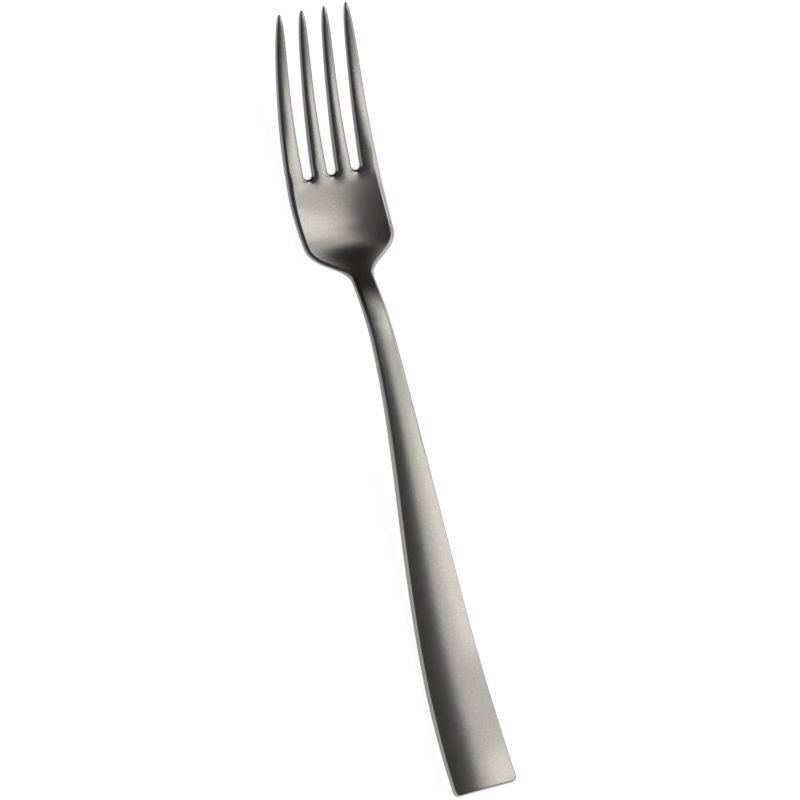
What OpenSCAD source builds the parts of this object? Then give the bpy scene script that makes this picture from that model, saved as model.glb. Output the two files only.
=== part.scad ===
// Serving fork with four tines, a dished palm, an arched neck and a tapering handle.
// Sizes in millimetres. The fork lies face up on the plane z = 0, its tines toward +Y.
// The fork is a single forging; its regions are drawn as solids that meet face to face.

/* [Lengths] */
// Butt end to the crest of the neck
handle_len = 135.9; // [115:0.1:160]
// Crest of the neck to the start of the shoulders
neck_len = 21.4; // [16:0.1:28]
// Shoulders, from the neck to the palm
shoulder_len = 13; // [11:0.1:18]
// End of the shoulders to the bottoms of the slots
palm_len = 21.4; // [16:0.1:28]
// Bottoms of the slots to the tips of the tines
tine_len = 48.6; // [40:0.1:60]

/* [Widths] */
// Handle at the butt end
butt_w = 20.4; // [14:0.1:26]
// Neck
neck_w = 7.43; // [5:0.01:9]
// Palm at its widest place
palm_w = 30.7; // [27:0.05:36]
// Each slot where its straight sides begin
slot_w = 2.9; // [2.4:0.1:4.4]
// Each of the two middle tines at its root
inner_tine_w = 5; // [4:0.05:6]
// Each of the two outside tines at its root
outer_tine_w = 5.78; // [4.6:0.02:6.8]
// Each tine before it runs out to its point
tine_end_w = 3.05; // [2.2:0.05:3.6]
// How far an outside tine leans toward the middle on its way to the tip
outer_toe_in = 1.42; // [0:0.02:2]
// How far a middle tine leans toward the middle on its way to the tip
inner_toe_in = 0.3; // [0:0.1:0.8]

/* [Thicknesses] */
// Edge of the handle at the butt end
butt_t = 2.6; // [2:0.05:3.6]
// Edge of the handle along its length
handle_t = 3.15; // [2.4:0.05:4.2]
// Neck at its crest
neck_t = 2.3; // [1.9:0.05:3.4]
// Palm
palm_t = 2.2; // [1.6:0.05:3]
// Tine shortly before its point
tine_end_t = 1.3; // [1:0.05:2]

/* [Side profile] */
// Butt end to the place on which the handle rests
foot_y = 37.9; // [28:0.1:45]
// Height of the butt end's underside
butt_lift = 4.78; // [3.6:0.02:7]
// Bend of the underside where the handle rests
foot_r = 150; // [120:1:240]
// Height of the underside at the crest of the neck
crest_h = 9.93; // [7:0.01:12]
// Bend of the underside at the crest
crest_r = 125; // [110:1:200]
// Start of the shoulders to the place on which the palm rests
belly_run = 24; // [20:0.1:28]
// Bend of the underside where the palm rests
belly_r = 63.4; // [50:0.1:80]
// Height of the underside at the tips
tip_h = 18.5; // [15:0.1:24]
// Depth ground off the underside so that the fork rests on flats
rest_depth = 0.05; // [0.03:0.01:0.1]

/* [Sections] */
// Slope of the crowned handle's face at its edges, degrees
crown_angle = 6; // [0:0.1:10]
// The same slope on the neck, degrees
neck_crown_angle = 3.7; // [0:0.1:10]
// Bend of the palm's dish, across the fork
dish_r = 130; // [90:1:400]
// Extra bend of the outside tines' roots, across the fork
side_dish_r = 200; // [90:1:400]
// Slope of a middle tine's crowned face at its edges, degrees
inner_crown_angle = 9.5; // [0:0.1:14]
// Slope of an outside tine's crowned face at its edges, degrees
outer_crown_angle = 6.5; // [0:0.1:14]
// Rise of the palm's face between the slots
land_crown = 0.12; // [0:0.01:0.3]
// Rounding of the handle's long edges
edge_r = 0.45; // [0.2:0.05:0.6]
// Rounding of the butt end's corners, seen from above
butt_corner_r = 1.6; // [1:0.1:4]

/* [Hidden] */
// Stations along the fork, from the butt end
crest_y = handle_len;
shoulder_y = crest_y + neck_len;
palm_y = shoulder_y + shoulder_len;
slot_y = palm_y + palm_len;
root_y = slot_y + slot_w / 2;
tip_y = slot_y + tine_len;
belly_y = shoulder_y + belly_run;
// How far short of the slots the palm is widest
widest_lead = 7.7;
widest_y = slot_y - widest_lead;
// Places across the fork where the slots and the tines begin
slot_pitch = inner_tine_w + slot_w;
inner_x = slot_pitch / 2;
outer_x = slot_pitch + (slot_w + outer_tine_w) / 2;
root_half = outer_x + outer_tine_w / 2;
// Lengths over which one thickness goes over into the next
butt_blend = 25;
neck_blend = 50;
palm_blend = 30;
palm_blend_lead = 10;
// Where the handle's crown goes over into the neck's
crown_lead = 20;
crown_blend = 40;
// Shoulders: blend at each end of their straight flanks, and rounding at the palm and at the neck
flank_lead = 3.45;
corner_soft = 7.3;
neck_soft = 5.85;
// Where the dish of the palm begins, grows shallower and ends, and its share that reaches the roots
dish_in = 14;
dish_out = 16;
dish_end = 20;
root_dish_share = 0.42;
side_dish_in = 7;
// Where the palm's face begins to rise between the slots, where the tines take over, and the length over
// which the crown of a tine comes in
land_in = 4.5;
root_blend = 5;
tine_crown_in = 6;
// Long edges: where they grow rounder, their depth as a share of the half thickness, and how much
// wider than deep they are on the neck and at the slots
edge_lead = 60;
edge_blend = 50;
head_edge_share = 0.95;
tine_edge_share = 0.7;
neck_edge_spread = 0.3;
head_edge_spread = 0.8;
// How the tines narrow: plain taper of each pair, then the run out to the points
inner_taper = 1.7;
outer_taper = 1.1;
toe_bend = 1.9;
point_bend = 9;
thin_bend = 60;
// Share of a tine's half width that its rounded edges may use
tine_edge_limit = 0.75;
// Last station of a tine, as a share of its length, and how the stations close up toward it
point_end = 0.9985;
point_crowd = 1.7;
// How the palm's stations close up toward the slots
palm_crowd = 1.7;
// Share of the handle's rest that is sure to be flat
flat_share = 0.9;
// Steps of the surfaces
edge_steps = 4;
slot_steps = 8;
handle_cols = 8;
tine_cols = 4;
neck_rows = 14;
palm_rows = 24;
tine_rows = 22;
row_pitch = 4;
probe = 0.01;
steel = [0.385, 0.37, 0.345];
// Middle of the length between the butt end and the tips
point_y = root_y + (tip_y - root_y) * point_end;
mid_y = (place_y(0, edge_r) + place_y(point_y, point_inset(point_y))) / 2;

// Smooth step from 0 to 1
function ease(u) =
    let (c = min(max(u, 0), 1))
    c * c * (3 - 2 * c);

// Smaller of p and q, rounded where they differ by less than k
function soft_min(p, q, k) = min(p, q) - pow(max(k - abs(p - q), 0), 2) / (4 * k);

// Drop of a rounded edge at the distance e from it; it is an ellipse of the given half axes
function edge_drop(e, reach, depth) =
    let (inside = min(max(1 - e / reach, 0), 1))
    depth * (1 - sqrt(1 - inside * inside));

// Curve between two level places with the heights z0 and z1 and the curvatures k0 and k1
function arch(u, run, z0, k0, z1, k1) =
    z0 + (z1 - z0) * pow(u, 3) * (10 - 15 * u + 6 * u * u)
    + k0 * run * run / 2 * pow(u, 2) * pow(1 - u, 3)
    + k1 * run * run / 2 * pow(u, 3) * pow(1 - u, 2);

// Curve that leaves a level place with the bend radius r and rises to h over its run
function upturn(d, run, r, h) =
    d * d / (2 * r) + (h - run * run / (2 * r)) * pow(d / run, 3);

// Height of the underside along the middle
function back_z(y) =
    y < foot_y ? upturn(foot_y - y, foot_y, foot_r, butt_lift)
    : y < crest_y ? arch((y - foot_y) / (crest_y - foot_y), crest_y - foot_y,
        0, 1 / foot_r, crest_h, -1 / crest_r)
    : y < belly_y ? arch((y - crest_y) / (belly_y - crest_y), belly_y - crest_y,
        crest_h, -1 / crest_r, 0, 1 / belly_r)
    : upturn(y - belly_y, tip_y - belly_y, belly_r, tip_h);

function back_slope(y) = (back_z(y + probe) - back_z(y - probe)) / (2 * probe);

// Place along the fork of a point n above the underside and square to it
function place_y(y, n) = y - n * sin(atan(back_slope(y)));

// Point at x across, y along, n above the underside and square to it
function place(x, y, n) =
    [x, place_y(y, n) - mid_y, max(back_z(y) - rest_depth + n * cos(atan(back_slope(y))), 0)];

function thickness(y) =
    butt_t + (handle_t - butt_t) * ease(y / butt_blend)
    + (neck_t - handle_t) * ease((y - crest_y + neck_blend) / neck_blend)
    + (palm_t - neck_t) * ease((y - shoulder_y + palm_blend_lead) / palm_blend)
    + (tine_end_t - palm_t) * ease((y - slot_y) / tine_len);

// How far along a tine, from 0 at the root to 1 at the tip
function along(y) = min(max((y - root_y) / (tip_y - root_y), 0), 1);

// Width of a tine before it runs out to its point
function tine_w(y, outside) =
    let (root = outside ? outer_tine_w : inner_tine_w, taper = outside ? outer_taper : inner_taper)
    tine_end_w + (root - tine_end_w) * pow(1 - along(y), taper);

// Half width of a tine with the run out to its point
function tine_half(y, outside) = tine_w(y, outside) / 2 * sqrt(1 - pow(along(y), point_bend));

// Place across the fork of a right hand tine's middle
function tine_mid(y, outside) =
    let (lean = pow(along(y), toe_bend))
    outside ? outer_x - outer_toe_in * lean : inner_x - inner_toe_in * lean;

// How far each face of a tine closes in toward the point
function point_inset(y) = thickness(y) / 2 * (1 - sqrt(1 - pow(along(y), thin_bend)));

// Half widths of the handle with the neck, of the straight flanks, and of the head beyond them
function handle_half(y) = (neck_w + (butt_w - neck_w) * ease(1 - y / shoulder_y)) / 2;
function flank_half(y) =
    let (up_flank = (y - shoulder_y - flank_lead) / (shoulder_len - 2 * flank_lead))
    (neck_w + (palm_w - neck_w) * up_flank) / 2;
function side_half(y) =
    y < root_y ? palm_w / 2 - (palm_w / 2 - root_half) * pow((y - widest_y) / (root_y - widest_y), 2)
    : tine_mid(y, true) + tine_w(y, true) / 2;

// Half width of the whole fork, with square corners at the butt end
function half_w(y) =
    let (head_half = soft_min(flank_half(y), side_half(y), corner_soft))
    -soft_min(-handle_half(y), -head_half, neck_soft);

// How far the long edges have gone over from those of the handle to those of the head
function to_head(y) = ease((y - crest_y + edge_lead) / edge_blend);

// Share of the head's half thickness that the rounding of its edges takes
function edge_share(y) =
    head_edge_share + (tine_edge_share - head_edge_share) * ease((y - slot_y) / root_blend);

// How deep the long edges are rounded, and how far in from the outline
function edge_depth(y) = edge_r + (edge_share(y) * thickness(y) / 2 - edge_r) * to_head(y);
function edge_reach(y) =
    let (
        along_palm = ease((y - shoulder_y) / (slot_y - shoulder_y)),
        spread = neck_edge_spread + (head_edge_spread - neck_edge_spread) * along_palm)
    edge_depth(y) * (1 + spread * to_head(y));

// Rise of the palm's face toward each tine, between the slots
function land(x, y) =
    let (fade = ease((y - slot_y + land_in) / land_in) * (1 - ease((y - root_y) / root_blend)))
    land_crown * (1 - cos(360 * x / slot_pitch)) / 2 * fade;

// Rise of the palm's sides above its middle
function dish(x, y) =
    let (
        shallower = (1 - root_dish_share) * ease((y - slot_y + dish_out) / dish_out),
        along_tine = ease((y - root_y) / dish_end),
        bowl = ease((y - shoulder_y) / dish_in) - shallower - root_dish_share * along_tine,
        at_roots = ease((y - slot_y + side_dish_in) / side_dish_in) - along_tine,
        past_slots = max(abs(x) - slot_pitch, 0))
    x * x / (2 * dish_r) * bowl + past_slots * past_slots / (2 * side_dish_r) * at_roots;

// Rise of the handle's face in the middle above its edges
function crown(y) =
    let (
        to_neck = ease((y - crest_y + crown_lead) / crown_blend),
        slope = tan(crown_angle) + (tan(neck_crown_angle) - tan(crown_angle)) * to_neck)
    half_w(y) * slope / 2 * (1 - ease((y - shoulder_y) / shoulder_len));

// Heights of the two faces above the underside's middle, before the edges are rounded
function face_n(x, y) =
    thickness(y) + crown(y) * (1 - pow(x / half_w(y), 2)) + dish(x, y) + land(x, y);
function back_n(x, y) = dish(x, y);

// Places across a rounded edge of the given reach, counted inward from the edge
function edge_xs(reach) = [for (i = [0 : edge_steps - 1]) reach * (1 - cos(90 * i / edge_steps))];

// Places across a solid between x0 and x1 with edges rounded over the given reach
function section_xs(x0, x1, reach, cols) =
    let (e = edge_xs(reach))
    concat(
        [for (i = [0 : edge_steps - 1]) x0 + e[i]],
        [for (i = [0 : cols]) x0 + reach + (x1 - x0 - 2 * reach) * i / cols],
        [for (i = [1 : edge_steps]) x1 - e[edge_steps - i]]);

// Steps from y0 to y1 without the last one, about as long as the row pitch
function rows_between(y0, y1, pitch) =
    let (n = max(round((y1 - y0) / pitch), 1))
    [for (i = [0 : n - 1]) y0 + (y1 - y0) * i / n];

// Solid between a face and a back, each a list of rows of points
module skin(face, back) {
    rows = len(face);
    cols = len(face[0]);
    points = concat([for (row = face) each row], [for (row = back) each row]);
    function f(i, j) = i * cols + j;
    function b(i, j) = (rows + i) * cols + j;
    quads = concat(
        [for (i = [0 : rows - 2], j = [0 : cols - 2])
            [f(i, j), f(i + 1, j), f(i + 1, j + 1), f(i, j + 1)]],
        [for (i = [0 : rows - 2], j = [0 : cols - 2])
            [b(i, j), b(i, j + 1), b(i + 1, j + 1), b(i + 1, j)]],
        [for (i = [0 : rows - 2]) [f(i, 0), b(i, 0), b(i + 1, 0), f(i + 1, 0)]],
        [for (i = [0 : rows - 2])
            [f(i + 1, cols - 1), b(i + 1, cols - 1), b(i, cols - 1), f(i, cols - 1)]],
        [for (j = [0 : cols - 2]) [f(0, j), f(0, j + 1), b(0, j + 1), b(0, j)]],
        [for (j = [0 : cols - 2])
            [f(rows - 1, j), b(rows - 1, j), b(rows - 1, j + 1), f(rows - 1, j + 1)]]);
    faces = [for (q = quads) each [[q[0], q[1], q[2]], [q[0], q[2], q[3]]]];
    polyhedron(points, faces);
}

// Length of the fork with the full section, through the stations ys
module bar(ys) {
    // Distance from the outline, whose butt end has round corners
    function gap(x, y) =
        let (side = abs(x) - half_w(y) + butt_corner_r, end = butt_corner_r - y)
        butt_corner_r - norm([max(side, 0), max(end, 0)]) - min(max(side, end), 0);
    function half(y) = half_w(y) - edge_drop(y, butt_corner_r, butt_corner_r);
    function xs(y) = section_xs(-half(y), half(y), edge_reach(y), handle_cols);
    function drop(x, y) = edge_drop(gap(x, y), edge_reach(y), edge_depth(y));
    skin(
        [for (y = ys) [for (x = xs(y)) place(x, y, face_n(x, y) - drop(x, y))]],
        [for (y = ys) [for (x = xs(y)) place(x, y, back_n(x, y) + drop(x, y))]]);
}

module handle() {
    // The flat on which the handle rests has rows of its own
    flat = flat_share * sqrt(2 * foot_r * rest_depth);
    ys = concat(
        [for (e = edge_xs(butt_corner_r)) e],
        rows_between(butt_corner_r, foot_y - flat, row_pitch),
        rows_between(foot_y - flat, foot_y + flat, row_pitch),
        rows_between(foot_y + flat, crest_y, row_pitch),
        [crest_y]);
    color(steel) bar(ys);
}

module neck() {
    ys = concat(rows_between(crest_y, shoulder_y, neck_len / neck_rows), [shoulder_y]);
    color(steel) bar(ys);
}

module palm() {
    rim = min(edge_reach(root_y), tine_edge_limit * inner_tine_w / 2);
    side = root_half - rim;
    // Lines along the palm: place across at the roots, and how far short of the roots each one ends
    function land_lines(x0, x1) = [for (x = section_xs(x0, x1, rim, tine_cols)) [x, 0]];
    function slot_lines(x) = [for (i = [1 : slot_steps - 1])
        let (a = 180 * i / slot_steps)
        [x - slot_w / 2 * cos(a), slot_w / 2 * sin(a)]];
    lines = concat(
        land_lines(-root_half, -slot_pitch - slot_w / 2),
        slot_lines(-slot_pitch),
        land_lines(-slot_pitch + slot_w / 2, -slot_w / 2),
        slot_lines(0),
        land_lines(slot_w / 2, slot_pitch - slot_w / 2),
        slot_lines(slot_pitch),
        land_lines(slot_pitch + slot_w / 2, root_half));
    // Rows close up toward the slots; the lines draw together toward the neck
    function y_of(i, line) =
        let (end = root_y - line[1])
        end - (end - shoulder_y) * pow(1 - i / palm_rows, palm_crowd);
    function x_of(y, line) =
        let (narrowing = (half_w(y) - rim) / (half_w(root_y - line[1]) - rim), a = abs(line[0]))
        sign(line[0]) * (min(a, side) * narrowing + max(a - side, 0));
    // Distance from the outline, with the round bottoms of the slots
    function gap(x, y) =
        let (slots = [for (s = [-1 : 1]) norm([x - s * slot_pitch, root_y - y]) - slot_w / 2])
        max(min(half_w(y) - abs(x), min(slots)), 0);
    function drop(x, y) = edge_drop(gap(x, y), edge_reach(y), edge_depth(y));
    function row(i, up) = [for (line = lines)
        let (y = y_of(i, line), x = x_of(y, line))
        place(x, y, up ? face_n(x, y) - drop(x, y) : back_n(x, y) + drop(x, y))];
    color(steel) skin(
        [for (i = [0 : palm_rows]) row(i, true)],
        [for (i = [0 : palm_rows]) row(i, false)]);
}

// Right hand tine
module tine(outside) {
    function mid(y) = tine_mid(y, outside);
    function half(y) = tine_half(y, outside);
    function reach(y) = min(edge_reach(y), tine_edge_limit * half(y));
    function depth(y) = (edge_depth(y) - edge_share(y) * point_inset(y)) * reach(y) / edge_reach(y);
    function swell(x, y) =
        let (slope = tan(outside ? outer_crown_angle : inner_crown_angle))
        half(y) * slope / 2 * ease((y - root_y) / tine_crown_in) * (1 - pow((x - mid(y)) / half(y), 2));
    function drop(x, y) =
        point_inset(y) + edge_drop(half(y) - abs(x - mid(y)), reach(y), depth(y));
    function xs(y) = section_xs(mid(y) - half(y), mid(y) + half(y), reach(y), tine_cols);
    // Rows close up toward the point
    function u(i) = 1 - pow(1 - i / tine_rows, point_crowd);
    ys = [for (i = [0 : tine_rows]) root_y + (tip_y - root_y) * min(u(i), point_end)];
    color(steel) skin(
        [for (y = ys) [for (x = xs(y)) place(x, y, face_n(x, y) + swell(x, y) - drop(x, y))]],
        [for (y = ys) [for (x = xs(y)) place(x, y, back_n(x, y) + drop(x, y))]]);
}

module right_outer_tine() { tine(true); }

module right_inner_tine() { tine(false); }

module left_inner_tine() { mirror([1, 0, 0]) tine(false); }

module left_outer_tine() { mirror([1, 0, 0]) tine(true); }

handle();
neck();
palm();
left_outer_tine();
left_inner_tine();
right_inner_tine();
right_outer_tine();
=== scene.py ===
"""Serving fork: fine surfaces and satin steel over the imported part, with a studio and a camera."""

import math

import bpy
import numpy as np
from mathutils import Matrix, Vector


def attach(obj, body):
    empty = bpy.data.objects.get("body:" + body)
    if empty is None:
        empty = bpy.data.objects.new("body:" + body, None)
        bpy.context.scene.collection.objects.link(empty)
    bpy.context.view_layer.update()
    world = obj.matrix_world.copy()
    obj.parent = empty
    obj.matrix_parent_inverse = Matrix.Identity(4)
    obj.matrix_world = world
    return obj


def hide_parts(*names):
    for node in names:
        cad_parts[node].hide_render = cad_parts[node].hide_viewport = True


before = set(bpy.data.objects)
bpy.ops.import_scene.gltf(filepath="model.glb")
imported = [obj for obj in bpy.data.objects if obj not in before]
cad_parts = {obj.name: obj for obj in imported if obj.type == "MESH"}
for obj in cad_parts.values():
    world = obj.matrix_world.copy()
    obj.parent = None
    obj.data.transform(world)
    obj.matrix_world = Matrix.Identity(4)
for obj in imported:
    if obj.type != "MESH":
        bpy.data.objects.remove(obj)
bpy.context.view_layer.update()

MM = 0.001

# Lengths along the fork
HANDLE_LEN = 135.9 * MM
NECK_LEN = 21.4 * MM
SHOULDER_LEN = 13 * MM
PALM_LEN = 21.4 * MM
TINE_LEN = 48.6 * MM
# Widths
BUTT_W = 20.4 * MM
NECK_W = 7.43 * MM
PALM_W = 30.7 * MM
SLOT_W = 2.9 * MM
INNER_TINE_W = 5.0 * MM
OUTER_TINE_W = 5.78 * MM
TINE_END_W = 3.05 * MM
OUTER_TOE_IN = 1.42 * MM
INNER_TOE_IN = 0.3 * MM
# Thicknesses
BUTT_T = 2.6 * MM
HANDLE_T = 3.15 * MM
NECK_T = 2.3 * MM
PALM_T = 2.2 * MM
TINE_END_T = 1.3 * MM
# Side profile of the underside
FOOT_Y = 37.9 * MM
BUTT_LIFT = 4.78 * MM
FOOT_R = 150 * MM
CREST_H = 9.93 * MM
CREST_R = 125 * MM
BELLY_RUN = 24.0 * MM
BELLY_R = 63.4 * MM
TIP_H = 18.5 * MM
REST_DEPTH = 0.05 * MM
# Sections
CROWN_ANGLE = math.radians(6)
NECK_CROWN_ANGLE = math.radians(3.7)
DISH_R = 130 * MM
SIDE_DISH_R = 200 * MM
INNER_CROWN_ANGLE = math.radians(9.5)
OUTER_CROWN_ANGLE = math.radians(6.5)
LAND_CROWN = 0.12 * MM
EDGE_R = 0.45 * MM
HEAD_EDGE_SHARE = 0.95
TINE_EDGE_SHARE = 0.7
NECK_EDGE_SPREAD = 0.3
HEAD_EDGE_SPREAD = 0.8
BUTT_CORNER_R = 1.6 * MM
# Lengths over which one form goes over into the next
BUTT_BLEND = 25 * MM
NECK_BLEND = 50 * MM
PALM_BLEND = 30 * MM
PALM_BLEND_LEAD = 10 * MM
CROWN_LEAD = 20 * MM
CROWN_BLEND = 40 * MM
DISH_IN = 14 * MM
DISH_OUT = 16 * MM
DISH_END = 20 * MM
ROOT_DISH_SHARE = 0.42
SIDE_DISH_IN = 7 * MM
LAND_IN = 4.5 * MM
ROOT_BLEND = 5 * MM
TINE_CROWN_IN = 6 * MM
EDGE_LEAD = 60 * MM
EDGE_BLEND = 50 * MM
# Shoulders: straight part of their flanks, and rounding at the palm and at the neck
FLANK_LEAD = 3.45 * MM
CORNER_SOFT = 7.3 * MM
NECK_SOFT = 5.85 * MM
# How far short of the slots the palm is widest
WIDEST_LEAD = 7.7 * MM
# How the tines narrow, lean and run out to their points
INNER_TAPER = 1.7
OUTER_TAPER = 1.1
TOE_BEND = 1.9
POINT_BEND = 9
THIN_BEND = 60
TINE_EDGE_LIMIT = 0.75
POINT_END = 0.9985

# Stations along the fork, from the butt end
CREST_Y = HANDLE_LEN
SHOULDER_Y = CREST_Y + NECK_LEN
PALM_Y = SHOULDER_Y + SHOULDER_LEN
SLOT_Y = PALM_Y + PALM_LEN
ROOT_Y = SLOT_Y + SLOT_W / 2
TIP_Y = SLOT_Y + TINE_LEN
BELLY_Y = SHOULDER_Y + BELLY_RUN
WIDEST_Y = SLOT_Y - WIDEST_LEAD
# Places across the fork
SLOT_PITCH = INNER_TINE_W + SLOT_W
INNER_X = SLOT_PITCH / 2
OUTER_X = SLOT_PITCH + (SLOT_W + OUTER_TINE_W) / 2
ROOT_HALF = OUTER_X + OUTER_TINE_W / 2
SLOT_XS = (-SLOT_PITCH, 0.0, SLOT_PITCH)

# Fineness of the surfaces
EDGE_STEPS = 6
SLOT_STEPS = 18
CORNER_STEPS = 9
BAR_COLS = 26
TINE_COLS = 10
HANDLE_ROWS = 110
NECK_ROWS = 26
PALM_ROWS = 60
TINE_ROWS = 64
PALM_CROWD = 1.7
POINT_CROWD = 1.7
# Step for slopes, and least length that is divided by
PROBE = 0.004 * MM
LEAST = PROBE * MM


# Outline and profile

def ease(u):
    """Smooth step from 0 to 1."""
    c = np.clip(u, 0, 1)
    return c * c * (3 - 2 * c)


def soft_min(p, q, k):
    """Smaller of p and q, rounded where they differ by less than k."""
    return np.minimum(p, q) - np.maximum(k - np.abs(p - q), 0) ** 2 / (4 * k)


def edge_drop(e, reach, depth):
    """Drop of a rounded edge at the distance e from it; it is an ellipse of the given half axes."""
    inside = np.clip(1 - e / reach, 0, 1)
    return depth * (1 - np.sqrt(1 - inside * inside))


def arch(u, run, z0, k0, z1, k1):
    """Curve between two level places with the heights z0 and z1 and the curvatures k0 and k1."""
    rise = (z1 - z0) * u**3 * (10 - 15 * u + 6 * u * u)
    bends = k0 * u**2 * (1 - u) ** 3 + k1 * u**3 * (1 - u) ** 2
    return z0 + rise + bends * run * run / 2


def upturn(d, run, r, h):
    """Curve that leaves a level place with the bend radius r and rises to h over its run."""
    return d * d / (2 * r) + (h - run * run / (2 * r)) * (d / run) ** 3


def back_z(y):
    """Height of the underside along the middle."""
    rise_run, fall_run = CREST_Y - FOOT_Y, BELLY_Y - CREST_Y
    return np.select(
        [y < FOOT_Y, y < CREST_Y, y < BELLY_Y],
        [
            upturn(FOOT_Y - y, FOOT_Y, FOOT_R, BUTT_LIFT),
            arch((y - FOOT_Y) / rise_run, rise_run, 0, 1 / FOOT_R, CREST_H, -1 / CREST_R),
            arch((y - CREST_Y) / fall_run, fall_run, CREST_H, -1 / CREST_R, 0, 1 / BELLY_R),
        ],
        upturn(y - BELLY_Y, TIP_Y - BELLY_Y, BELLY_R, TIP_H),
    )


def back_angle(y):
    """Slope of the underside along the fork, as an angle."""
    return np.arctan((back_z(y + PROBE) - back_z(y - PROBE)) / (2 * PROBE))


def thickness(y):
    """Thickness along the fork, square to the underside."""
    return (
        BUTT_T
        + (HANDLE_T - BUTT_T) * ease(y / BUTT_BLEND)
        + (NECK_T - HANDLE_T) * ease((y - CREST_Y + NECK_BLEND) / NECK_BLEND)
        + (PALM_T - NECK_T) * ease((y - SHOULDER_Y + PALM_BLEND_LEAD) / PALM_BLEND)
        + (TINE_END_T - PALM_T) * ease((y - SLOT_Y) / TINE_LEN)
    )


def along(y):
    """How far along a tine, from 0 at the root to 1 at the tip."""
    return np.clip((y - ROOT_Y) / (TIP_Y - ROOT_Y), 0, 1)


def tine_mid(y, outside):
    """Place across the fork of a right hand tine's middle."""
    lean = along(y) ** TOE_BEND
    return OUTER_X - OUTER_TOE_IN * lean if outside else INNER_X - INNER_TOE_IN * lean


def tine_w(y, outside):
    """Width of a tine before it runs out to its point."""
    root, taper = (OUTER_TINE_W, OUTER_TAPER) if outside else (INNER_TINE_W, INNER_TAPER)
    return TINE_END_W + (root - TINE_END_W) * (1 - along(y)) ** taper


def tine_half(y, outside):
    """Half width of a tine with the run out to its point."""
    return tine_w(y, outside) / 2 * np.sqrt(1 - along(y) ** POINT_BEND)


def point_inset(y):
    """How far each face of a tine closes in toward the point."""
    return thickness(y) / 2 * (1 - np.sqrt(1 - along(y) ** THIN_BEND))


def half_w(y):
    """Half width of the whole fork, with square corners at the butt end."""
    handle_half = (NECK_W + (BUTT_W - NECK_W) * ease(1 - y / SHOULDER_Y)) / 2
    up_flank = (y - SHOULDER_Y - FLANK_LEAD) / (SHOULDER_LEN - 2 * FLANK_LEAD)
    flank_half = (NECK_W + (PALM_W - NECK_W) * up_flank) / 2
    off_widest = (y - WIDEST_Y) / (ROOT_Y - WIDEST_Y)
    palm_half = PALM_W / 2 - (PALM_W / 2 - ROOT_HALF) * off_widest**2
    side = np.where(y < ROOT_Y, palm_half, tine_mid(y, True) + tine_w(y, True) / 2)
    head_half = soft_min(flank_half, side, CORNER_SOFT)
    return -soft_min(-handle_half, -head_half, NECK_SOFT)


def to_head(y):
    """How far the long edges have gone over from those of the handle to those of the head."""
    return ease((y - CREST_Y + EDGE_LEAD) / EDGE_BLEND)


def edge_share(y):
    """Share of the head's half thickness that the rounding of its edges takes."""
    return HEAD_EDGE_SHARE + (TINE_EDGE_SHARE - HEAD_EDGE_SHARE) * ease((y - SLOT_Y) / ROOT_BLEND)


def edge_depth(y):
    """How deep the long edges are rounded, from a slight rounding on the handle to a full one."""
    return EDGE_R + (edge_share(y) * thickness(y) / 2 - EDGE_R) * to_head(y)


def edge_reach(y):
    """How far in from the outline the long edges are rounded."""
    along_palm = ease((y - SHOULDER_Y) / (SLOT_Y - SHOULDER_Y))
    spread = NECK_EDGE_SPREAD + (HEAD_EDGE_SPREAD - NECK_EDGE_SPREAD) * along_palm
    return edge_depth(y) * (1 + spread * to_head(y))


def land(x, y):
    """Rise of the palm's face toward each tine, between the slots."""
    fade = ease((y - SLOT_Y + LAND_IN) / LAND_IN) * (1 - ease((y - ROOT_Y) / ROOT_BLEND))
    return LAND_CROWN * (1 - np.cos(2 * math.pi * x / SLOT_PITCH)) / 2 * fade


def dish(x, y):
    """Rise of the palm's sides above its middle."""
    shallower = (1 - ROOT_DISH_SHARE) * ease((y - SLOT_Y + DISH_OUT) / DISH_OUT)
    along_tine = ease((y - ROOT_Y) / DISH_END)
    bowl = ease((y - SHOULDER_Y) / DISH_IN) - shallower - ROOT_DISH_SHARE * along_tine
    at_roots = ease((y - SLOT_Y + SIDE_DISH_IN) / SIDE_DISH_IN) - along_tine
    past_slots = np.maximum(np.abs(x) - SLOT_PITCH, 0)
    return x * x / (2 * DISH_R) * bowl + past_slots**2 / (2 * SIDE_DISH_R) * at_roots


def crown(y):
    """Rise of the handle's face in the middle above its edges."""
    to_neck = ease((y - CREST_Y + CROWN_LEAD) / CROWN_BLEND)
    slope = math.tan(CROWN_ANGLE) + (math.tan(NECK_CROWN_ANGLE) - math.tan(CROWN_ANGLE)) * to_neck
    return half_w(y) * slope / 2 * (1 - ease((y - SHOULDER_Y) / SHOULDER_LEN))


def face_n(x, y):
    """Height of the face above the underside's middle, before the edges are rounded."""
    return thickness(y) + crown(y) * (1 - (x / half_w(y)) ** 2) + dish(x, y) + land(x, y)


def back_n(x, y):
    """Height of the back above the underside's middle, before the edges are rounded."""
    return dish(x, y)


# Surfaces

def place_y(y, n):
    """Place along the fork of a point n above the underside and square to it."""
    return y - n * np.sin(back_angle(y))


def middle_y():
    """Middle of the length between the butt end and the tips, where the frame has its origin."""
    point_y = np.array(ROOT_Y + (TIP_Y - ROOT_Y) * POINT_END)
    return float(place_y(np.array(0.0), EDGE_R) + place_y(point_y, point_inset(point_y))) / 2


MID_Y = middle_y()


def place(x, y, n):
    """Points at x across, y along and n above the underside, in the frame."""
    z = back_z(y) - REST_DEPTH + n * np.cos(back_angle(y))
    return np.stack([x, place_y(y, n) - MID_Y, np.maximum(z, 0)], axis=-1)


def unit(v):
    """Vectors v with the length 1."""
    return v / np.linalg.norm(v, axis=-1, keepdims=True)


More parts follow.
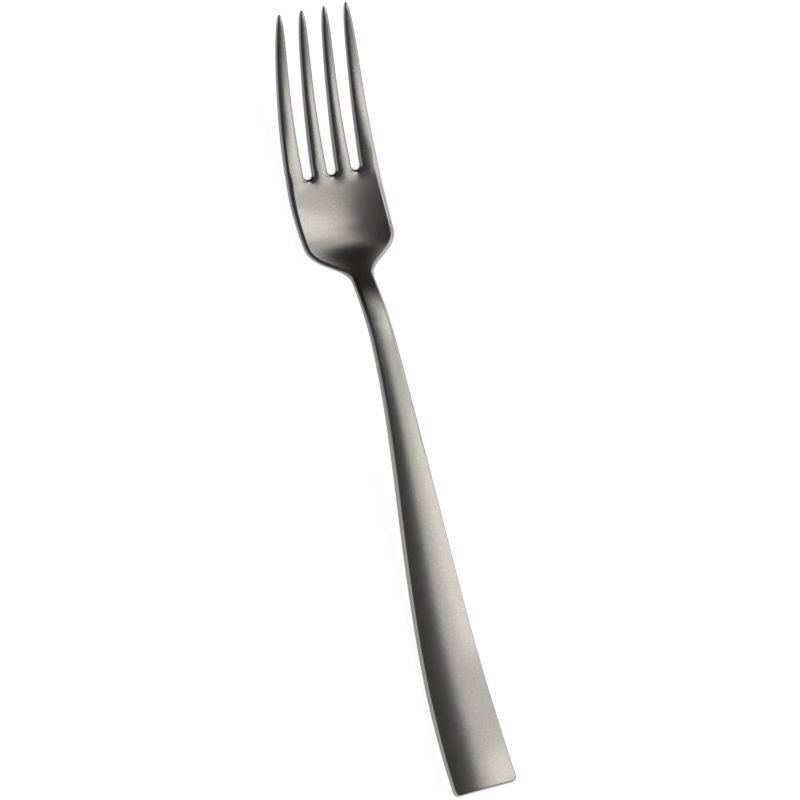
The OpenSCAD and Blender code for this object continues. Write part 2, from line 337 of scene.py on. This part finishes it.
def rounded_surface(x, y, height, gap, edge, up):
    """Points, normals and edge wear of the face (up = 1) or the back (up = -1) of a piece.

    height gives the surface before its edges are rounded, gap the distance to the outline,
    and edge the reach and depth of the rounding.
    """
    reach, depth = edge(y)
    e = np.clip(gap(x, y), 0, reach)
    points = place(x, y, height(x, y) - up * edge_drop(e, reach, depth))

    across = place(x + PROBE, y, height(x + PROBE, y)) - place(x - PROBE, y, height(x - PROBE, y))
    ahead = place(x, y + PROBE, height(x, y + PROBE)) - place(x, y - PROBE, height(x, y - PROBE))
    flat_normal = up * unit(np.cross(across, ahead))

    gap_x = gap(x + PROBE, y) - gap(x - PROBE, y)
    gap_y = gap(x, y + PROBE) - gap(x, y - PROBE)
    slope = back_angle(y)
    outward = -np.stack([gap_x, gap_y * np.cos(slope), gap_y * np.sin(slope)], axis=-1)
    outward = outward / np.maximum(np.linalg.norm(outward, axis=-1, keepdims=True), LEAST)

    turn_out = (1 - e / reach) * depth
    turn_up = np.sqrt(1 - (1 - e / reach) ** 2) * reach
    normals = unit(turn_up[..., None] * flat_normal + turn_out[..., None] * outward)
    wear = 2 * turn_up * turn_out / (turn_up**2 + turn_out**2)
    return points, normals, wear


def grid_quads(face, back):
    """Quads of a closed skin over two grids of point numbers, rows along Y and columns along X."""
    def strip(a, b):
        """Wall between the rows of points a and b."""
        return np.stack([a[:-1], b[:-1], b[1:], a[1:]], axis=-1)

    def sheet(g):
        """Quads of one grid, seen from above."""
        corners = [g[:-1, :-1], g[:-1, 1:], g[1:, 1:], g[1:, :-1]]
        return np.stack(corners, axis=-1).reshape(-1, 4)

    return np.concatenate([
        sheet(face),
        sheet(back)[:, ::-1],
        strip(back[:, 0], face[:, 0]),
        strip(face[:, -1], back[:, -1]),
        strip(face[0], back[0]),
        strip(back[-1], face[-1]),
    ])


def make_piece(name, x, y, face, back, gap, edge):
    """Closed mesh of one region of the fork over the grid x, y."""
    sides = [rounded_surface(x, y, face, gap, edge, 1), rounded_surface(x, y, back, gap, edge, -1)]
    points, normals, wear = (np.concatenate([s[k].reshape(x.size, -1) for s in sides]) for k in range(3))
    numbers = np.arange(x.size).reshape(x.shape)
    quads = grid_quads(numbers, numbers + x.size)

    mesh = bpy.data.meshes.new(name)
    mesh.from_pydata(points.tolist(), [], quads.tolist())
    mesh.polygons.foreach_set("use_smooth", np.ones(len(quads), dtype=bool))
    mesh.attributes.new("wear", "FLOAT", "POINT").data.foreach_set("value", wear.ravel())
    mesh.normals_split_custom_set_from_vertices(normals.tolist())
    mesh.update()
    piece = bpy.data.objects.new(name, mesh)
    bpy.context.collection.objects.link(piece)
    return piece


def edge_steps(reach):
    """Places across a rounded edge, counted inward from the edge."""
    turns = np.arange(EDGE_STEPS) * math.pi / 2 / EDGE_STEPS
    return np.multiply.outer(reach, 1 - np.cos(turns))


def section_xs(x0, x1, reach, cols):
    """Rows of places between x0 and x1 that crowd on the rounded edges."""
    steps = edge_steps(reach)
    inner = np.linspace(0, 1, cols + 1)
    middle = (x0 + reach)[..., None] + np.multiply.outer(x1 - x0 - 2 * reach, inner)
    return np.concatenate([x0[..., None] + steps, middle, (x1[..., None] - steps)[..., ::-1]], axis=-1)


# Pieces

def long_edge(y):
    """Reach and depth of the rounding along the handle, neck and palm."""
    return edge_reach(y), edge_depth(y)


def bar_gap(x, y):
    """Distance from the outline of the handle and neck, whose butt end has round corners."""
    side = np.abs(x) - half_w(y) + BUTT_CORNER_R
    end = BUTT_CORNER_R - y
    corner = np.hypot(np.maximum(side, 0), np.maximum(end, 0))
    return BUTT_CORNER_R - corner - np.minimum(np.maximum(side, end), 0)


def make_bar(name, ys):
    """Length of the fork with the full section, through the stations ys."""
    half = half_w(ys) - edge_drop(ys, BUTT_CORNER_R, BUTT_CORNER_R)
    x = section_xs(-half, half, edge_reach(ys), BAR_COLS)
    y = np.broadcast_to(ys[:, None], x.shape)
    return make_piece(name, x, y, face_n, back_n, bar_gap, long_edge)


def make_handle():
    """Handle, with rows that crowd on the round corners and the edge of its butt end."""
    turns = np.arange(CORNER_STEPS) * math.pi / 2 / CORNER_STEPS
    corner = BUTT_CORNER_R * (1 - np.cos(turns))
    ys = np.union1d(np.concatenate([corner, edge_steps(EDGE_R)]),
                    np.linspace(BUTT_CORNER_R, CREST_Y, HANDLE_ROWS))
    return make_bar("fork_handle", ys)


def make_neck():
    """Neck, from the crest of the arch to the shoulders."""
    return make_bar("fork_neck", np.linspace(CREST_Y, SHOULDER_Y, NECK_ROWS))


def palm_gap(x, y):
    """Distance from the outline of the palm, with the round bottoms of its slots."""
    gap = half_w(y) - np.abs(x)
    for slot_x in SLOT_XS:
        gap = np.minimum(gap, np.hypot(x - slot_x, ROOT_Y - y) - SLOT_W / 2)
    return gap


def palm_lines(rim):
    """Lines along the palm: place across at the roots, and how far short of the roots each ends."""
    turns = np.arange(1, SLOT_STEPS) * math.pi / SLOT_STEPS
    bounds = [-ROOT_HALF] + [x + s * SLOT_W / 2 for x in SLOT_XS for s in (-1, 1)] + [ROOT_HALF]
    lines, shorts = [], []
    for i, (x0, x1) in enumerate(zip(bounds[0::2], bounds[1::2])):
        root = section_xs(np.array(x0), np.array(x1), rim, TINE_COLS)
        lines.append(root)
        shorts.append(np.zeros(root.shape))
        if i < len(SLOT_XS):
            lines.append(SLOT_XS[i] - SLOT_W / 2 * np.cos(turns))
            shorts.append(SLOT_W / 2 * np.sin(turns))
    return np.concatenate(lines), np.concatenate(shorts)


def make_palm():
    """Palm, whose rows close up toward the slots and whose lines draw together toward the neck."""
    rim = edge_reach(np.array(ROOT_Y))
    line, short = palm_lines(rim)
    back_off = np.linspace(1, 0, PALM_ROWS + 1) ** PALM_CROWD
    ends = ROOT_Y - short
    y = ends - np.multiply.outer(back_off, ends - SHOULDER_Y)
    side = ROOT_HALF - rim
    narrowing = (half_w(y) - rim) / (half_w(ends) - rim)
    inner = np.minimum(np.abs(line), side) * narrowing
    x = np.sign(line) * (inner + np.maximum(np.abs(line) - side, 0))
    return make_piece("fork_palm", x, y, face_n, back_n, palm_gap, long_edge)


def make_tine(name, outside, hand):
    """Tine on the right (hand = 1) or the left (hand = -1)."""
    def middle(y):
        """Place across the fork of the tine's middle."""
        return hand * tine_mid(y, outside)

    def edge(y):
        """Reach and depth of the rounding, within the tine's width."""
        reach = np.minimum(edge_reach(y), TINE_EDGE_LIMIT * tine_half(y, outside))
        depth = (edge_depth(y) - edge_share(y) * point_inset(y)) * reach / edge_reach(y)
        return reach, depth

    def gap(x, y):
        """Distance from the tine's outline."""
        return tine_half(y, outside) - np.abs(x - middle(y))

    def face(x, y):
        """Height of the crowned face, which closes in at the point."""
        half = tine_half(y, outside)
        angle = OUTER_CROWN_ANGLE if outside else INNER_CROWN_ANGLE
        rise = half * math.tan(angle) / 2 * ease((y - ROOT_Y) / TINE_CROWN_IN)
        return face_n(x, y) + rise * (1 - ((x - middle(y)) / half) ** 2) - point_inset(y)

    def back(x, y):
        """Height of the back, which closes in at the point."""
        return back_n(x, y) + point_inset(y)

    steps = 1 - (1 - np.linspace(0, 1, TINE_ROWS + 1)) ** POINT_CROWD
    ys = ROOT_Y + (TIP_Y - ROOT_Y) * np.minimum(steps, POINT_END)
    half = tine_half(ys, outside)
    x = section_xs(middle(ys) - half, middle(ys) + half, edge(ys)[0], TINE_COLS)
    y = np.broadcast_to(ys[:, None], x.shape)
    return make_piece(name, x, y, face, back, gap, edge)


# Material

GRAIN_SCALE = 1600
CLOUD_SCALE = 240
NOISE_DETAIL = 3
# Part of the noise's range that the tone and the polish follow
NOISE_REACH = (0.3, 0.7)
GRAIN_COLOURS = ((0.362, 0.347, 0.324, 1), (0.408, 0.392, 0.366, 1))
WORN_COLOUR = (0.46, 0.445, 0.42, 1)
WORN_SHARE = 0.35
ROUGHNESS = (0.155, 0.18)
GRAIN_BUMP = 0.13
GRAIN_DEPTH = 0.02 * MM


def map_range(nodes, reach, start, end):
    """Node that goes from start to end as its value goes over the reach."""
    node = nodes.new("ShaderNodeMapRange")
    node.inputs["From Min"].default_value, node.inputs["From Max"].default_value = reach
    node.inputs["To Min"].default_value = start
    node.inputs["To Max"].default_value = end
    return node


def satin_steel():
    """Dark stone-washed steel: fine tumbled grain, cloudy polish and brighter worn edges."""
    mat = bpy.data.materials.new("satin_steel")
    mat.use_nodes = True
    nodes, links = mat.node_tree.nodes, mat.node_tree.links
    shader = nodes["Principled BSDF"]
    shader.inputs["Metallic"].default_value = 1.0
    coord = nodes.new("ShaderNodeTexCoord")

    def noise(scale):
        """Noise over the piece, in its own frame."""
        node = nodes.new("ShaderNodeTexNoise")
        node.inputs["Scale"].default_value = scale
        node.inputs["Detail"].default_value = NOISE_DETAIL
        links.new(coord.outputs["Object"], node.inputs["Vector"])
        return node.outputs["Fac"]

    clouds = noise(CLOUD_SCALE)
    grain = noise(GRAIN_SCALE)
    wear = nodes.new("ShaderNodeAttribute")
    wear.attribute_name = "wear"

    tone = nodes.new("ShaderNodeValToRGB")
    for stop, position, colour in zip(tone.color_ramp.elements, NOISE_REACH, GRAIN_COLOURS):
        stop.position = position
        stop.color = colour
    links.new(grain, tone.inputs["Fac"])
    worn = nodes.new("ShaderNodeMix")
    worn.data_type = "RGBA"
    worn.inputs["B"].default_value = WORN_COLOUR
    worn_share = nodes.new("ShaderNodeMath")
    worn_share.operation = "MULTIPLY"
    worn_share.inputs[1].default_value = WORN_SHARE
    links.new(wear.outputs["Fac"], worn_share.inputs[0])
    links.new(worn_share.outputs[0], worn.inputs["Factor"])
    links.new(tone.outputs["Color"], worn.inputs["A"])
    links.new(worn.outputs["Result"], shader.inputs["Base Color"])

    polish = map_range(nodes, NOISE_REACH, *ROUGHNESS)
    links.new(clouds, polish.inputs["Value"])
    links.new(polish.outputs["Result"], shader.inputs["Roughness"])

    bump = nodes.new("ShaderNodeBump")
    bump.inputs["Strength"].default_value = GRAIN_BUMP
    bump.inputs["Distance"].default_value = GRAIN_DEPTH
    links.new(grain, bump.inputs["Height"])
    links.new(bump.outputs["Normal"], shader.inputs["Normal"])
    return mat


# Studio

# Floor: a flat disc, and a sweep up into a low wall; its glow to the camera and in reflections
FLOOR_FLAT_R = 0.5
FLOOR_R = 5.0
WALL_H = 1.2
WALL_BEND = 0.6
SWEEP_SIDES = 96
SWEEP_STEPS = 8
FLOOR_COLOUR = (0.9, 0.9, 0.9, 1)
FLOOR_GLOW = 0.82
FLOOR_SHEEN = 0.52
# Panels overhead, to the fork's right; the cores hang lower and add to the panels above them
PANEL_H = 1.30
CORE_H = 1.28
PANEL_X = 1.1
PANEL_COLOUR = (1.0, 0.98, 0.945)
PANELS = (
    # Name, reach across, reach along, height, radiance
    ("soft_panel", (0.456, PANEL_X), (-0.47, 0.50), PANEL_H, 1.14),
    ("panel_tines", (0.525, PANEL_X), (-0.85, -0.47), PANEL_H, 1.11),
    ("panel_end", (0.51, PANEL_X), (0.50, 0.955), PANEL_H, 0.95),
    ("panel_fade", (0.51, PANEL_X), (0.955, 1.10), PANEL_H, 0.30),
    ("panel_tips", (0.60, PANEL_X), (-1.02, -0.85), PANEL_H, 0.70),
    ("panel_right", (PANEL_X, 4.8), (-1.35, 0.05), PANEL_H, 1.35),
    ("panel_beyond", (1.55, 5.0), (0.05, 1.30), PANEL_H, 1.3),
    ("core_near", (0.635, PANEL_X), (-0.84, -0.19), CORE_H, 0.60),
    ("core_far", (0.585, PANEL_X), (0.18, 0.71), CORE_H, 0.63),
)
# Room: its light falls off toward the far end, and a brighter left side falls off there as well;
# each pair is the part of a direction's reach along the axis over which the light changes
ROOM_COLOUR = (0.88, 0.93, 1.0, 1)
ROOM_LIGHT = 0.09
ROOM_END_LIGHT = 0.018
ROOM_END = (0.35, 0.62)
ROOM_LEFT_LIGHT = 0.6
ROOM_LEFT = (-0.48, -0.85)
LEFT_END_SHARE = 0.2
LEFT_END = (0.2, 0.45)


def floor_material():
    """Pale floor that shows white to the camera, glows less in reflections and keeps the shadow."""
    mat = bpy.data.materials.new("pale_floor")
    mat.use_nodes = True
    nodes, links = mat.node_tree.nodes, mat.node_tree.links
    nodes.remove(nodes["Principled BSDF"])
    paper = nodes.new("ShaderNodeBsdfDiffuse")
    paper.inputs["Color"].default_value = FLOOR_COLOUR
    glow = nodes.new("ShaderNodeEmission")
    path = nodes.new("ShaderNodeLightPath")
    reflected = nodes.new("ShaderNodeMath")
    reflected.operation = "MULTIPLY"
    reflected.inputs[1].default_value = FLOOR_SHEEN
    links.new(path.outputs["Is Glossy Ray"], reflected.inputs[0])
    strength = nodes.new("ShaderNodeMath")
    strength.operation = "MULTIPLY_ADD"
    strength.inputs[1].default_value = FLOOR_GLOW
    links.new(path.outputs["Is Camera Ray"], strength.inputs[0])
    links.new(reflected.outputs[0], strength.inputs[2])
    links.new(strength.outputs[0], glow.inputs["Strength"])
    both = nodes.new("ShaderNodeAddShader")
    links.new(paper.outputs["BSDF"], both.inputs[0])
    links.new(glow.outputs["Emission"], both.inputs[1])
    links.new(both.outputs["Shader"], nodes["Material Output"].inputs["Surface"])
    return mat


def make_floor():
    """Round floor that bends up into a low wall all round."""
    bend = np.linspace(0, math.pi / 2, SWEEP_STEPS)
    radii = np.concatenate([[FLOOR_FLAT_R], FLOOR_R - WALL_BEND * (1 - np.sin(bend)), [FLOOR_R]])
    heights = np.concatenate([[0.0], WALL_BEND * (1 - np.cos(bend)), [WALL_H]])
    turns = np.arange(SWEEP_SIDES) * 2 * math.pi / SWEEP_SIDES
    ring = np.stack([np.cos(turns), np.sin(turns)], axis=-1)
    points = [(*(r * p), h) for r, h in zip(radii, heights) for p in ring]
    faces = [list(range(SWEEP_SIDES))]
    for k in range(len(radii) - 1):
        for i in range(SWEEP_SIDES):
            a, b = k * SWEEP_SIDES + i, k * SWEEP_SIDES + (i + 1) % SWEEP_SIDES
            faces.append([a, a + SWEEP_SIDES, b + SWEEP_SIDES, b])
    mesh = bpy.data.meshes.new("studio_floor")
    mesh.from_pydata(points, [], faces)
    mesh.materials.append(floor_material())
    floor = bpy.data.objects.new("studio_floor", mesh)
    bpy.context.collection.objects.link(floor)


def make_panels():
    """Broad soft panels overhead to the right, which are brighter inside."""
    for name, (x0, x1), (y0, y1), height, radiance in PANELS:
        lamp = bpy.data.lights.new(name, "AREA")
        lamp.shape = "RECTANGLE"
        lamp.size, lamp.size_y = x1 - x0, y1 - y0
        lamp.energy = radiance * math.pi * lamp.size * lamp.size_y
        lamp.color = PANEL_COLOUR
        panel = bpy.data.objects.new(name, lamp)
        panel.location = ((x0 + x1) / 2, (y0 + y1) / 2, height)
        bpy.context.collection.objects.link(panel)


def make_room():
    """Dim room around the fork, darker at the far end and brighter on the left."""
    world = bpy.data.worlds.new("dim_room")
    world.use_nodes = True
    nodes, links = world.node_tree.nodes, world.node_tree.links
    background = nodes["Background"]
    background.inputs["Color"].default_value = ROOM_COLOUR
    coord = nodes.new("ShaderNodeTexCoord")
    parts = nodes.new("ShaderNodeSeparateXYZ")
    links.new(coord.outputs["Generated"], parts.inputs["Vector"])

    def slide(axis, reach, start, end):
        """Light that goes from start to end as the direction's axis goes over the reach."""
        node = map_range(nodes, reach, start, end)
        links.new(parts.outputs[axis], node.inputs["Value"])
        return node.outputs["Result"]

    room = nodes.new("ShaderNodeMath")
    room.operation = "MULTIPLY_ADD"
    links.new(slide("X", ROOM_LEFT, 0.0, ROOM_LEFT_LIGHT), room.inputs[0])
    links.new(slide("Y", LEFT_END, 1.0, LEFT_END_SHARE), room.inputs[1])
    links.new(slide("Y", ROOM_END, ROOM_LIGHT, ROOM_END_LIGHT), room.inputs[2])
    links.new(room.outputs[0], background.inputs["Strength"])
    bpy.context.scene.world = world


# Camera: how far it leans to the fork's left and toward the butt, and how far the picture is turned
LEAN_LEFT = math.radians(21)
LEAN_BACK = math.radians(1)
PICTURE_TURN = math.radians(-13.661)
CAMERA_DIST = 1214.6 * MM
CAMERA_LENS = 181.35
AIM = Vector((0, 0.49 * MM, 5.95 * MM))
AIM_RIGHT = 2.45 * MM
AIM_UP = 0.29 * MM


def make_camera():
    """Camera above the fork's left side, turned as in the photo."""
    lean = math.cos(LEAN_LEFT)
    back = Vector((-math.sin(LEAN_LEFT), -math.sin(LEAN_BACK) * lean, math.cos(LEAN_BACK) * lean))
    ahead = Vector((0, 1, 0))
    up = (ahead - back * ahead.dot(back)).normalized()
    right = up.cross(back)
    turned_right = right * math.cos(PICTURE_TURN) + up * math.sin(PICTURE_TURN)
    turned_up = up * math.cos(PICTURE_TURN) - right * math.sin(PICTURE_TURN)

    camera = bpy.data.objects.new("camera", bpy.data.cameras.new("camera"))
    camera.data.lens = CAMERA_LENS
    camera.matrix_world = Matrix.Translation(
        AIM + back * CAMERA_DIST + turned_right * AIM_RIGHT + turned_up * AIM_UP
    ) @ Matrix((turned_right, turned_up, back)).transposed().to_4x4()
    bpy.context.collection.objects.link(camera)
    bpy.context.scene.camera = camera


def dress(piece, node, material):
    """Gives a piece its material and lets it stand for its CAD node."""
    piece.data.materials.append(material)
    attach(piece, "root")
    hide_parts(node)


steel = satin_steel()
dress(make_handle(), "handle", steel)
dress(make_neck(), "neck", steel)
dress(make_palm(), "palm", steel)
for side, hand in (("left", -1), ("right", 1)):
    for row, outside in (("inner", False), ("outer", True)):
        node_name = f"{side}_{row}_tine"
        dress(make_tine(f"fork_{node_name}", outside, hand), node_name, steel)

make_floor()
make_panels()
make_room()
make_camera()
bpy.context.scene.view_settings.view_transform = "Standard"
